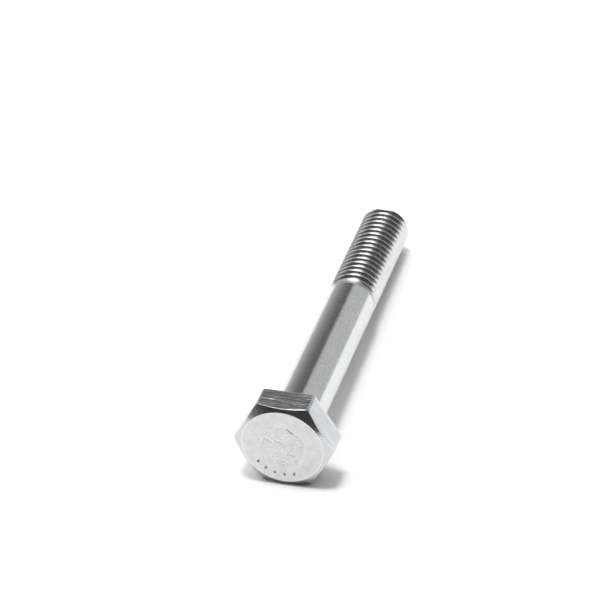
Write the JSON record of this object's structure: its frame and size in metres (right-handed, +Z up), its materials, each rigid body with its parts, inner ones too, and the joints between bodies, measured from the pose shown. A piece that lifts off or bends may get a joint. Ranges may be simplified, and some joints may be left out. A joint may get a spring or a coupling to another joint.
{
  "type": "hex bolt",
  "caption": "Stainless steel hexagon head bolt with a plain shank and a rolled right-hand thread, for clamping parts with a nut or in a tapped hole.",
  "frame": {"origin": "middle of the bearing face under the head, on the bolt's axis", "axes": "+X along the bolt's axis towards the head, the point at the -X end; +Z up, square to the hexagon's upper flat"},
  "size_m": [0.0764, 0.0194, 0.017],
  "materials": {
    "stainless_steel": "satin, bright drawn and forged stainless steel"
  },
  "bodies": {
    "root": {"hex_head": "stainless_steel", "washer_face": "stainless_steel", "underhead_fillet": "stainless_steel", "plain_shank": "stainless_steel", "shank_shoulder": "stainless_steel", "thread_runout": "stainless_steel", "thread_core": "stainless_steel", "thread_ridge": "stainless_steel", "chamfered_point": "stainless_steel"}
  },
  "joints": []
}
